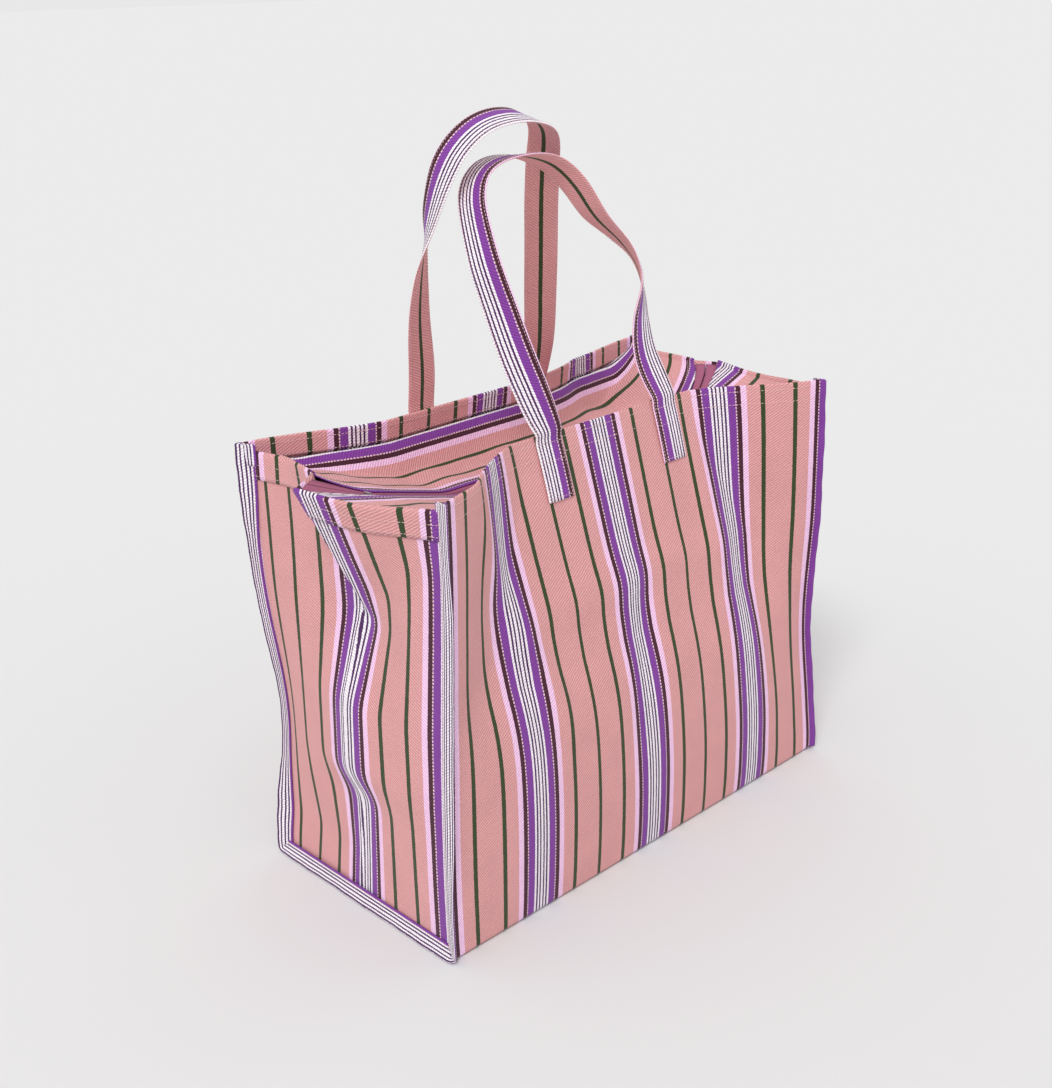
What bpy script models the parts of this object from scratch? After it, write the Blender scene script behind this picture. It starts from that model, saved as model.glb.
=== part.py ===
"""A zipped shopping bag of striped canvas with two strap handles.

Units are metres. +Z is up, -Y is the front and +X is the bag's right. The origin is the middle of
the underside. Front, base and back are one length of cloth, split here at its two bottom folds. Two
gussets close the ends, and a zipped closure is slung between the hems just under the mouth.
"""

import math

import bmesh
import bpy
import numpy as np

# Body of the bag, between its seams.
BODY_WIDTH = 0.484
BODY_DEPTH = 0.245
BODY_HEIGHT = 0.400
CLOTH = 0.0015
GAP = 0.0003
MILLIMETRE = 0.001

# How the soft body stands: the long sides sink in towards the mouth, its corners flare.
FRONT_SINK = 0.0665
BACK_SINK = 0.042
SINK_START = 0.13
SINK_END_LENGTH = 0.14
MOUTH_FLARE = 0.004
FRONT_CORNER_PULL = 0.011
GUSSET_HEIGHT = 0.391

# Seam allowances folded outward along the gussets.
SEAM_WIDTH = 0.0085
SEAM_THICKNESS = 0.0024

# Hem and the closure hung from its lower edge.
HEM_HEIGHT = 0.019
CLOSURE_SEAT = 0.0030
CLOSURE_DROP_RUN = 0.016
CLOSURE_END_RADIUS = 0.0028
CLOSURE_OVERHANG = 0.020

# Zip.
ZIP_LEVEL = 0.350
ZIP_LEVEL_LEFT = -0.125
ZIP_LEVEL_RIGHT = 0.172
ZIP_END_RISE = 0.030
ZIP_END_X = 0.230
TAPE_INNER = 0.0033
TAPE_OUTER = 0.0090
TAPE_THICKNESS = 0.0008
COIL_RADIUS = 0.00115
COIL_CENTRE = 0.00185
COIL_END_X = 0.205
SLIDER_X = 0.160
SLIDER_LENGTH = 0.016
SLIDER_HALF_WIDTH = 0.0048
SLIDER_PLATE = 0.0012
SLIDER_PLATE_BASE = 0.0015
SLIDER_WEB_HALF = 0.0004
PULL_PIVOT = 0.00385
PULL_LENGTH = 0.026

# Handles.
STRAP_WIDTH = 0.030
STRAP_THICKNESS = 0.0020
STRAP_END_LENGTH = 0.0525
STRAP_SEAT = 0.0012
STRAP_END_TOP = 0.3980
HANDLE_HALF_SPREAD = 0.0725
FRONT_HANDLE_SHIFT = 0.0135
BACK_HANDLE_SHIFT = -0.0045
HANDLE_PIVOT_Z = 0.4005
UPRIGHT_SHARE = 0.08

# Middle line of each strap from its left foot to its right foot, and the way its outer face looks there.
FRONT_ROUTE = [
    ((-0.0590, -0.0620, 0.4015), (0, -1, 0)),
    ((-0.0710, -0.0540, 0.4390), (-0.5, -1, 0)),
    ((-0.0800, -0.0440, 0.4760), (-1, -1, 0)),
    ((-0.0850, -0.0320, 0.5130), (-1, -0.6, 0)),
    ((-0.0880, -0.0200, 0.5480), (-1, -0.4, 0)),
    ((-0.0850, -0.0065, 0.5800), (-1, -0.2, 0.1)),
    ((-0.0790, 0.0010, 0.5980), (-1, -0.1, 0.4)),
    ((-0.0700, 0.0030, 0.6120), (-1, 0, 0.9)),
    ((-0.0520, 0.0040, 0.6210), (-0.4, 0, 1)),
    ((-0.0270, 0.0030, 0.6230), (0, 0.1, 1)),
    ((-0.0070, -0.0010, 0.6190), (0.4, 0.2, 0.8)),
    ((0.0100, -0.0070, 0.6100), (0.7, 0.3, 0.7)),
    ((0.0270, -0.0130, 0.5920), (1, 0.3, 0.6)),
    ((0.0470, -0.0175, 0.5650), (1, 0.1, 0.5)),
    ((0.0740, -0.0210, 0.5400), (1, -0.2, 0.4)),
    ((0.0910, -0.0250, 0.5180), (1, -0.7, 0.2)),
    ((0.0920, -0.0310, 0.4970), (0.8, -1, 0)),
    ((0.0830, -0.0370, 0.4680), (0.2, -1, 0)),
    ((0.0790, -0.0460, 0.4400), (0, -1, 0)),
    ((0.0860, -0.0620, 0.4015), (0, -1, 0)),
]
BACK_ROUTE = [
    ((-0.0770, 0.0865, 0.4015), (0, 1, 0)),
    ((-0.0790, 0.0790, 0.4410), (0, 1, 0)),
    ((-0.0870, 0.0690, 0.4880), (-0.2, 1, 0)),
    ((-0.0910, 0.0600, 0.5170), (-0.4, 1, 0)),
    ((-0.0930, 0.0490, 0.5490), (-0.7, 0.8, 0)),
    ((-0.0970, 0.0350, 0.5800), (-1, 0.3, 0.1)),
    ((-0.0960, 0.0190, 0.6120), (-1, -0.1, 0.3)),
    ((-0.0860, 0.0100, 0.6350), (-0.9, -0.25, 0.6)),
    ((-0.0670, 0.0030, 0.6510), (-0.6, -0.3, 0.8)),
    ((-0.0410, 0.0000, 0.6560), (-0.2, -0.35, 0.9)),
    ((-0.0130, 0.0010, 0.6520), (0.15, -0.25, 0.9)),
    ((0.0120, 0.0090, 0.6390), (0.8, 0.1, 0.7)),
    ((0.0210, 0.0210, 0.6080), (1, 0.7, 0.1)),
    ((0.0280, 0.0310, 0.5750), (1, 0.9, 0)),
    ((0.0360, 0.0410, 0.5380), (1, 0.9, 0)),
    ((0.0460, 0.0540, 0.4940), (0.8, 1, 0)),
    ((0.0590, 0.0715, 0.4360), (0.4, 1, 0)),
    ((0.0680, 0.0865, 0.4015), (0, 1, 0)),
]


def ease(t):
    """Rises smoothly from 0 to 1 as t goes from 0 to 1."""
    t = np.clip(t, 0, 1)
    return t * t * (3 - 2 * t)


def corner(side, z):
    """Half width and half depth of the body at height z, at its front (side -1) or back (side 1)."""
    rise = ease((z - SINK_START) / (BODY_HEIGHT - SINK_START))
    pull = FRONT_CORNER_PULL if side < 0 else 0.0
    return BODY_WIDTH / 2 - pull * rise, BODY_DEPTH / 2 + MOUTH_FLARE * rise


def long_side(side, x, z):
    """Middle of the front or back cloth at (x, z): upright below, sunk in towards the mouth."""
    half_width, half_depth = corner(side, z)
    sink = FRONT_SINK if side < 0 else BACK_SINK
    rise = ease((z - SINK_START) / (BODY_HEIGHT - SINK_START))
    inner = ease((half_width - np.abs(x)) / SINK_END_LENGTH)
    return side * (half_depth - sink * rise * inner)


def gusset_x(y, z):
    """Distance of the gusset's middle from the bag's middle plane, straight from corner to corner."""
    front = corner(-1, z)[0]
    back = corner(1, z)[0]
    return front + (back - front) * (0.5 + y / BODY_DEPTH)


def zip_height(x):
    """The zip hangs level between the handles and climbs in a straight line to the gussets."""
    left = (ZIP_LEVEL_LEFT - x) / (ZIP_LEVEL_LEFT + ZIP_END_X)
    right = (x - ZIP_LEVEL_RIGHT) / (ZIP_END_X - ZIP_LEVEL_RIGHT)
    return ZIP_LEVEL + ZIP_END_RISE * np.clip(np.maximum(left, right), 0, 1)


def moved_out(place, distance):
    """The surface that lies the given distance along the normal of the surface place(u, v)."""
    step = 1e-4

    def placed(u, v):
        along_u = np.stack(place(u + step, v)) - np.stack(place(u - step, v))
        along_v = np.stack(place(u, v + step)) - np.stack(place(u, v - step))
        normal = np.cross(along_u.T, along_v.T)
        normal /= np.linalg.norm(normal, axis=1, keepdims=True)
        return np.stack(place(u, v)) + distance * normal.T

    return placed


def clear_scene():
    for obj in list(bpy.data.objects):
        bpy.data.objects.remove(obj, do_unlink=True)


def new_collection(name):
    collection = bpy.data.collections.new(name)
    bpy.context.scene.collection.children.link(collection)
    return collection


clear_scene()
PARTS = new_collection("canvas_tote_bag")
CUTTERS = new_collection("cutters")

SALMON = (0.78, 0.34, 0.28)
ROSE = (0.74, 0.30, 0.25)
VIOLET = (0.22, 0.06, 0.36)
MAUVE = (0.40, 0.10, 0.19)
NICKEL = (0.62, 0.62, 0.60)


def finish_material(name, colour, roughness, metallic=0.0):
    material = bpy.data.materials.new(name)
    material.use_nodes = True
    shader = material.node_tree.nodes["Principled BSDF"]
    shader.inputs["Base Color"].default_value = (*colour, 1)
    shader.inputs["Roughness"].default_value = roughness
    shader.inputs["Metallic"].default_value = metallic
    return material


def add_object(name, data, colour, roughness=0.85, metallic=0.0, location=(0, 0, 0)):
    obj = bpy.data.objects.new(name, data)
    obj.location = location
    data.materials.append(finish_material(name + "_finish", colour, roughness, metallic))
    PARTS.objects.link(obj)
    return obj


def cloth_sheet(name, place, cells, colour, thickness=CLOTH, pivot=(0, 0, 0)):
    """A cloth piece: a flat grid laid on the surface place(u, v), then given its thickness."""
    grid = bmesh.new()
    bmesh.ops.create_grid(grid, x_segments=cells[0], y_segments=cells[1], size=0.5)
    mesh = bpy.data.meshes.new(name)
    grid.to_mesh(mesh)
    grid.free()
    points = np.empty(len(mesh.vertices) * 3)
    mesh.vertices.foreach_get("co", points)
    flat = points.reshape(-1, 3)
    shaped = np.stack(place(flat[:, 0] + 0.5, flat[:, 1] + 0.5)).T - np.array(pivot)
    mesh.vertices.foreach_set("co", shaped.ravel())
    obj = add_object(name, mesh, colour, location=pivot)
    solidify = obj.modifiers.new("Cloth thickness", "SOLIDIFY")
    solidify.thickness = thickness
    solidify.offset = 0
    return obj


def outline(points, half_thickness, cuts=()):
    """A filled flat outline, with any cut-outs, as a 2D curve. It is drawn in millimetres, since the
    filling of a curve joins points that are very close, and its object is scaled by MILLIMETRE."""
    curve = bpy.data.curves.new("outline", "CURVE")
    curve.dimensions = "2D"
    curve.fill_mode = "BOTH"
    curve.extrude = half_thickness / MILLIMETRE
    for ring in (points, *cuts):
        spline = curve.splines.new("POLY")
        spline.points.add(len(ring) - 1)
        spline.use_cyclic_u = True
        for point, (x, y) in zip(spline.points, ring):
            point.co = (x / MILLIMETRE, y / MILLIMETRE, 0, 1)
    return curve


def box_ring(x0, x1, y0, y1):
    return [(x0, y0), (x1, y0), (x1, y1), (x0, y1)]


def side_name(side):
    return "front" if side < 0 else "back"


def end_name(end):
    return "left" if end < 0 else "right"


def long_side_place(side, low, high, inset=0.0):
    """Surface of the front or back cloth between two heights."""

    def place(u, v):
        z = low + (high - low) * v
        half_width = corner(side, z)[0] - CLOTH / 2 - GAP - inset
        x = (2 * u - 1) * half_width
        return x, long_side(side, x, z), z

    return place


def make_long_side(side):
    """Front or back: one width of canvas from the bottom fold up to the hem."""
    place = long_side_place(side, 0.0, BODY_HEIGHT)
    cloth_sheet(side_name(side) + "_panel", place, (22, 14), SALMON)


def make_hem(side):
    """Hem: the top of the cloth turned down inside."""
    place = long_side_place(side, BODY_HEIGHT - HEM_HEIGHT, BODY_HEIGHT, inset=0.003)
    inner = moved_out(place, side * (CLOTH + 3 * GAP))
    cloth_sheet(side_name(side) + "_hem", inner, (22, 2), ROSE)


def make_base():
    """Base: the same cloth, laid flat between its two bottom folds."""
    half_x = BODY_WIDTH / 2 - CLOTH / 2 - GAP
    half_y = BODY_DEPTH / 2 - CLOTH / 2 - GAP

    def place(u, v):
        return (2 * u - 1) * half_x, (2 * v - 1) * half_y, np.full_like(u, CLOTH / 2)

    cloth_sheet("base_panel", place, (1, 1), SALMON)


def make_gusset(end):
    """End gusset: its own piece of canvas, held all round by the body cloth's seams."""

    def place(u, v):
        z = GUSSET_HEIGHT * v
        front = corner(-1, z)[1] - CLOTH / 2 - GAP
        y = (2 * u - 1) * front
        return end * gusset_x(y, z), y, z

    cloth_sheet(end_name(end) + "_gusset", place, (2, 10), ROSE)


def make_corner_seam(side, end):
    """Upright seam allowance, folded outward from a corner of the body."""
    outward = np.array((end, side)) / math.sqrt(2)

    def place(u, v):
        z = (BODY_HEIGHT + 0.0015) * v
        half_width, half_depth = corner(side, z)
        reach = CLOTH + GAP / 2 + SEAM_WIDTH * u
        x = end * half_width + outward[0] * reach
        y = side * half_depth + outward[1] * reach
        return x, y, z

    name = side_name(side) + "_" + end_name(end) + "_corner_seam"
    cloth_sheet(name, place, (1, 8), VIOLET, thickness=SEAM_THICKNESS)


def make_base_seam(end):
    """Bottom seam allowance, lying outward on the ground under a gusset."""
    inner = BODY_WIDTH / 2 + CLOTH / 2 + GAP
    half_y = BODY_DEPTH / 2 - CLOTH

    def place(u, v):
        x = end * (inner + SEAM_WIDTH * u)
        return x, (2 * v - 1) * half_y, np.full_like(u, SEAM_THICKNESS / 2)

    cloth_sheet(end_name(end) + "_base_seam", place, (1, 1), VIOLET, thickness=SEAM_THICKNESS)


def closure_run(u, y, height_inside):
    """One lengthwise thread of the closure at depth y: between the gussets, up, over and down outside.

    u runs from the left end to the right end, and height_inside(x) is the height between the gussets.
    """
    turn = np.abs(2 * u - 1)
    end = np.sign(2 * u - 1)
    reach = gusset_x(y, GUSSET_HEIGHT)
    inside = np.clip(turn / 0.8, 0, 1)
    x = inside * (reach - CLOSURE_END_RADIUS)
    z = height_inside(end * x)
    climb = np.clip((turn - 0.8) / 0.06, 0, 1)
    z = z + climb * (GUSSET_HEIGHT + GAP - z)
    bend = np.clip((turn - 0.86) / 0.08, 0, 1) * math.pi
    x = x + CLOSURE_END_RADIUS * (1 - np.cos(bend))
    z = z + CLOSURE_END_RADIUS * np.sin(bend)
    z = z - CLOSURE_OVERHANG * np.clip((turn - 0.94) / 0.06, 0, 1)
    return end * x, y, z


def make_closure_panel(side):
    """Closure panel: hung from the hem's lower edge, sewn to the zip tape and over both gussets."""
    edge = BODY_HEIGHT - HEM_HEIGHT - 0.0015

    def place(u, v):
        turn = 2 * u - 1
        near = side * (TAPE_OUTER + GAP)
        x_guess = np.clip(turn / 0.8, -1, 1) * (BODY_WIDTH / 2 - FRONT_CORNER_PULL)
        hem_y = long_side(side, x_guess, edge) - side * (CLOTH + CLOSURE_SEAT)
        limit = corner(side, BODY_HEIGHT)[1] - 0.005
        hem_y = side * np.minimum(side * hem_y, limit)
        fall = np.clip(v / 0.3, 0, 1)
        level = np.clip((v - 0.3) / 0.7, 0, 1)
        drop_y = hem_y - side * CLOSURE_DROP_RUN
        y = hem_y + (drop_y - hem_y) * fall + (near - drop_y) * level

        def height_inside(x):
            return zip_height(x) + (edge - zip_height(x)) * (1 - fall)

        return closure_run(u, y, height_inside)

    cloth_sheet(side_name(side) + "_closure_panel", place, (40, 6), SALMON)


def make_zip_tape(side):
    """Zip tape: a ribbed ribbon sewn under the folded edge of one closure panel."""

    def place(u, v):
        y = side * (TAPE_INNER + (TAPE_OUTER - TAPE_INNER) * v)
        return closure_run(u, y, zip_height)

    name = side_name(side) + "_zip_tape"
    cloth_sheet(name, place, (40, 1), MAUVE, thickness=TAPE_THICKNESS)


def make_zip_coil(side):
    """Zip coil: the nylon coil along the edge of one tape."""
    curve = bpy.data.curves.new(side_name(side) + "_zip_coil", "CURVE")
    curve.dimensions = "3D"
    curve.bevel_depth = COIL_RADIUS
    curve.bevel_resolution = 1
    curve.use_fill_caps = True
    x = np.linspace(-COIL_END_X, COIL_END_X, 33)
    spline = curve.splines.new("POLY")
    spline.points.add(len(x) - 1)
    for point, px, pz in zip(spline.points, x, zip_height(x)):
        point.co = (px, side * COIL_CENTRE, pz, 1)
    add_object(side_name(side) + "_zip_coil", curve, MAUVE, roughness=0.5)


def make_zip_stop(end):
    """Zip stop: a metal clip closed over both coils at the end of the zip."""
    mesh = bpy.data.meshes.new(end_name(end) + "_stop")
    block = bmesh.new()
    bmesh.ops.create_cube(block, size=1)
    half = COIL_CENTRE + COIL_RADIUS
    bmesh.ops.scale(block, vec=(0.004, 2 * half, 2.6 * COIL_RADIUS), verts=block.verts)
    block.to_mesh(mesh)
    block.free()
    x = end * (COIL_END_X + 0.0028)
    slope = math.atan2(zip_height(x + 0.001) - zip_height(x - 0.001), 0.002)
    name = "zip_" + end_name(end) + "_stop"
    stop = add_object(name, mesh, NICKEL, 0.3, 1.0, (x, 0, float(zip_height(x))))
    stop.rotation_euler = (0, -slope, 0)
    bevel = stop.modifiers.new("Edges", "BEVEL")
    bevel.width = 0.0003
    bevel.segments = 1


def add_box(name, low, high, collection):
    """A box between two corners, as a cube primitive sized in its mesh."""
    low, high = np.array(low), np.array(high)
    mesh = bpy.data.meshes.new(name)
    block = bmesh.new()
    bmesh.ops.create_cube(block, size=1)
    bmesh.ops.scale(block, vec=high - low, verts=block.verts)
    bmesh.ops.translate(block, vec=(low + high) / 2, verts=block.verts)
    block.to_mesh(mesh)
    block.free()
    obj = bpy.data.objects.new(name, mesh)
    collection.objects.link(obj)
    return obj


def combine(obj, other, operation):
    """Joins or cuts obj with a helper, which is left out of renders."""
    other.hide_render = True
    other.display_type = "WIRE"
    change = obj.modifiers.new(other.name, "BOOLEAN")
    change.operation = operation
    change.object = other


def make_slider():
    """Zip slider: two plates joined by the web between the coils, with a bridge for the pull."""
    half_length = SLIDER_LENGTH / 2
    half_height = SLIDER_PLATE_BASE + SLIDER_PLATE
    wide = SLIDER_HALF_WIDTH
    low = (-half_length, -wide, -half_height)
    slider = add_box("zip_slider", low, (half_length, wide, half_height), PARTS)
    slider.data.materials.append(finish_material("zip_slider_finish", NICKEL, 0.3, 1.0))
    slider.location = (SLIDER_X, 0, ZIP_LEVEL)
    for side in (-1, 1):
        inner, outer = sorted((side * SLIDER_WEB_HALF, side * 2 * wide))
        channel_low = (-SLIDER_LENGTH, inner, -SLIDER_PLATE_BASE)
        channel_high = (SLIDER_LENGTH, outer, SLIDER_PLATE_BASE)
        channel = add_box(side_name(side) + "_coil_channel", channel_low, channel_high, CUTTERS)
        channel.location = slider.location
        combine(slider, channel, "DIFFERENCE")

    top = 0.0062
    bridge = add_box("slider_bridge", (-0.0040, -0.001, half_height - 0.0004), (0.0040, 0.001, top), CUTTERS)
    bridge.location = slider.location
    window = add_box("bridge_window", (-0.0028, -0.002, -0.001), (0.0028, 0.002, 0.0050), CUTTERS)
    window.location = slider.location
    combine(bridge, window, "DIFFERENCE")
    combine(slider, bridge, "UNION")


def make_pull():
    """Zip pull: a flat tab whose eye hooks under the slider's bridge."""
    tip = -PULL_LENGTH
    tab = [
        (0.0006, -0.0028), (0.0006, 0.0028), (-0.006, 0.0034), (tip + 0.002, 0.0034),
        (tip, 0.0018), (tip, -0.0018), (tip + 0.002, -0.0034), (-0.006, -0.0034),
    ]
    eye = box_ring(-0.0049, -0.0006, -0.0013, 0.0013)
    curve = outline(tab, 0.0006, [eye])
    pivot = (SLIDER_X, 0, ZIP_LEVEL + PULL_PIVOT)
    pull = add_object("zip_pull", curve, NICKEL, 0.3, 1.0, pivot)
    pull.scale = (MILLIMETRE, MILLIMETRE, MILLIMETRE)


def strap_end_place(side, x_middle):
    """Surface of a strap's sewn end: on the outside of the cloth, from near the mouth downwards."""

    def place(u, v):
        x = x_middle + (u - 0.5) * STRAP_WIDTH
        z = STRAP_END_TOP - STRAP_END_LENGTH * (1 - v)
        return x, long_side(side, x, z), z

    return moved_out(place, -side * (CLOTH / 2 + STRAP_SEAT + STRAP_THICKNESS / 2))


def make_strap_end(side, end):
    """Sewn end of a strap: the stretch that is stitched flat to the outside of the cloth."""
    shift = FRONT_HANDLE_SHIFT if side < 0 else BACK_HANDLE_SHIFT
    place = strap_end_place(side, shift + end * HANDLE_HALF_SPREAD)
    name = side_name(side) + "_" + end_name(end) + "_strap_end"
    cloth_sheet(name, place, (3, 5), VIOLET, thickness=STRAP_THICKNESS)


def curve_through(points, t):
    """Smooth curve through the points: the Catmull-Rom rule on each stretch, t from 0 to 1."""
    points = np.vstack([2 * points[0] - points[1], points, 2 * points[-1] - points[-2]])
    count = len(points) - 3
    place = np.clip(t, 0, 1) * count
    first = np.minimum(place.astype(int), count - 1)
    s = (place - first)[:, None]
    p0, p1, p2, p3 = (points[first + k] for k in range(4))
    bend = (2 * p0 - 5 * p1 + 4 * p2 - p3) * s**2 + (3 * p1 - p0 - 3 * p2 + p3) * s**3
    return p1 + 0.5 * ((p2 - p0) * s + bend)


def make_handle(side, route):
    """Handle: one flat strap that rises from its left foot, arches over and comes down turned."""
    points = np.array([point for point, _ in route])
    facing = np.array([face for _, face in route], float)
    facing /= np.linalg.norm(facing, axis=1, keepdims=True)
    pivot = (0, points[0, 1], HANDLE_PIVOT_Z)

    def place(u, v):
        step = 1e-3
        middle = curve_through(points, v)
        run = curve_through(points, v + step) - curve_through(points, v - step)
        run[:, 0] *= ease(np.minimum(v, 1 - v) / UPRIGHT_SHARE)
        run /= np.linalg.norm(run, axis=1, keepdims=True)
        outer = curve_through(facing, v)
        across = np.cross(outer, run)
        across /= np.linalg.norm(across, axis=1, keepdims=True)
        spot = middle + across * ((u - 0.5) * STRAP_WIDTH)[:, None]
        return spot.T

    name = side_name(side) + "_handle"
    cloth_sheet(name, place, (1, 56), VIOLET, thickness=STRAP_THICKNESS, pivot=pivot)


for body_side in (-1, 1):
    make_long_side(body_side)
    make_hem(body_side)
    make_closure_panel(body_side)
    make_zip_tape(body_side)
    make_zip_coil(body_side)
    for body_end in (-1, 1):
        make_corner_seam(body_side, body_end)
        make_strap_end(body_side, body_end)
make_base()
for body_end in (-1, 1):
    make_gusset(body_end)
    make_base_seam(body_end)
    make_zip_stop(body_end)
make_slider()
make_pull()
make_handle(-1, FRONT_ROUTE)
make_handle(1, BACK_ROUTE)
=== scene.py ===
import math

import bpy
import numpy as np
from mathutils import Matrix


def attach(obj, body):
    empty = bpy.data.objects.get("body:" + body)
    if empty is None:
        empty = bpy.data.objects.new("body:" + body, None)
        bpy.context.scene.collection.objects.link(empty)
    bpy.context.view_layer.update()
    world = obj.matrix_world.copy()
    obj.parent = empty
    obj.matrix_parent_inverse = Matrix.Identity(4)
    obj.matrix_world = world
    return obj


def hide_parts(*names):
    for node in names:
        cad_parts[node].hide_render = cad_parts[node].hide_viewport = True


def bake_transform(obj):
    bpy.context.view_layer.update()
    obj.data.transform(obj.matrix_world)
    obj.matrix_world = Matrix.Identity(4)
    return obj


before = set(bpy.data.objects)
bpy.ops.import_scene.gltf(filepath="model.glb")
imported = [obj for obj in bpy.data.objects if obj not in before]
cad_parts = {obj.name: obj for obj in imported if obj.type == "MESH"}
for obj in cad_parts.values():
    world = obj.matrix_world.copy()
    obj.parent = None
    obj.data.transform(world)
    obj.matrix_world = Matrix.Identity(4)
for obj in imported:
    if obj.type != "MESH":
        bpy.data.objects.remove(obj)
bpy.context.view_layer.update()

# ---------------------------------------------------------------------------------------------
# Room: a pale seamless floor, an even sky and one broad lamp from the front left, and the camera.
# ---------------------------------------------------------------------------------------------
scene = bpy.context.scene
scene.view_settings.view_transform = "Standard"


def place_camera(azimuth, elevation, roll, distance, target, lens):
    """A camera at the given distance from the target, turned round it by azimuth and elevation, then
    rolled about its own line of sight."""
    az, el, turn = np.radians([azimuth, elevation, roll])
    back = np.array((math.cos(el) * math.sin(az), -math.cos(el) * math.cos(az), math.sin(el)))
    right = np.cross((0, 0, 1), back)
    right /= np.linalg.norm(right)
    up = np.cross(back, right)
    turned_right = math.cos(turn) * right + math.sin(turn) * up
    turned_up = math.cos(turn) * up - math.sin(turn) * right
    data = bpy.data.cameras.new("camera")
    data.lens = lens
    data.sensor_width = 36
    data.clip_end = 200
    camera = bpy.data.objects.new("camera", data)
    matrix = np.eye(4)
    matrix[:3, :3] = np.column_stack((turned_right, turned_up, back))
    matrix[:3, 3] = np.array(target) + distance * back
    camera.matrix_world = Matrix(matrix.tolist())
    return camera


camera = place_camera(-42.98, 21.17, -2.03, 1.329, (-0.0337, 0, 0.2790), 48.25)
scene.collection.objects.link(camera)
scene.camera = camera

world = bpy.data.worlds.new("sky")
world.use_nodes = True
world.node_tree.nodes["Background"].inputs["Color"].default_value = (1, 1, 1, 1)
world.node_tree.nodes["Background"].inputs["Strength"].default_value = 0.81
scene.world = world


def add_sun(name, strength, spread, azimuth, elevation):
    """A broad lamp that shines from the given azimuth and elevation, with soft-edged shadows."""
    data = bpy.data.lights.new(name, "SUN")
    data.energy = strength
    data.angle = math.radians(spread)
    lamp = bpy.data.objects.new(name, data)
    lamp.rotation_euler = (math.radians(90 - elevation), 0, math.radians(azimuth))
    scene.collection.objects.link(lamp)


add_sun("key", 1.40, 16, -59, 48)

bpy.ops.mesh.primitive_circle_add(vertices=64, radius=90, fill_type="NGON", location=(0, 0, -0.0006))
floor = bpy.context.object
floor.name = "floor"
paper = bpy.data.materials.new("pale_paper")
paper.use_nodes = True
paper.node_tree.nodes["Principled BSDF"].inputs["Base Color"].default_value = (0.73, 0.73, 0.73, 1)
paper.node_tree.nodes["Principled BSDF"].inputs["Roughness"].default_value = 0.9
paper.node_tree.nodes["Principled BSDF"].inputs["Specular IOR Level"].default_value = 0.1
floor.data.materials.append(paper)

# ---------------------------------------------------------------------------------------------
# Canvas: a cotton twill woven in stripes of one repeat. A stripe step is the distance between two
# green lines. Each cloth piece carries its own cloth coordinates, in steps across and along.
# ---------------------------------------------------------------------------------------------
STEP = 0.0312
# Steps from the middle of one white block to the next: a wide and a narrow section take turns.
WIDE_SECTION = 4.65
NARROW_SECTION = 3.65

WHITE = (0.93, 0.86, 0.92)
INK = (0.080, 0.022, 0.110)
VIOLET = (0.225, 0.050, 0.335)
MAROON = (0.066, 0.013, 0.028)
PALE_PINK = (0.93, 0.60, 0.85)
SALMON = (0.735, 0.350, 0.353)
GREEN = (0.036, 0.060, 0.020)
CREAM = (0.86, 0.62, 0.60)

# The weave's ribs and the pin line's dots are sine waves, in radians for each stripe step. The pin
# line's middle and half width are in steps out, like the stripes. The ribs' depth is in metres.
RIBS_ACROSS = 46
RIBS_ALONG = 72
PIN_DOTS = 62
PIN_MIDDLE = 0.518
PIN_HALF = 0.019
RIB_DEPTH = 0.0004

# Where each colour begins, in steps out from the middle of a white block.
STRIPES = [
    (0.000, WHITE), (0.030, INK), (0.084, WHITE), (0.144, INK), (0.200, WHITE), (0.270, VIOLET),
    (0.535, MAROON), (0.670, PALE_PINK), (0.840, SALMON), (1.255, GREEN), (1.395, SALMON),
    (2.258, GREEN), (2.450, SALMON),
]


def add_math(tree, operation, *values):
    """A Math node whose inputs are sockets or plain numbers; returns its output."""
    node = tree.nodes.new("ShaderNodeMath")
    node.operation = operation
    for socket, value in zip(node.inputs, values):
        if isinstance(value, (int, float)):
            socket.default_value = value
        else:
            tree.links.new(value, socket)
    return node.outputs[0]


def add_mix(tree, factor, first, second, blend="MIX"):
    """A colour Mix node; each input is a socket, a colour or a number."""
    node = tree.nodes.new("ShaderNodeMix")
    node.data_type = "RGBA"
    node.blend_type = blend
    for socket, value in zip((node.inputs[0], node.inputs[6], node.inputs[7]), (factor, first, second)):
        if isinstance(value, (int, float)):
            socket.default_value = value
        elif isinstance(value, tuple):
            socket.default_value = (*value, 1)
        else:
            tree.links.new(value, socket)
    return node.outputs[2]


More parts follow.
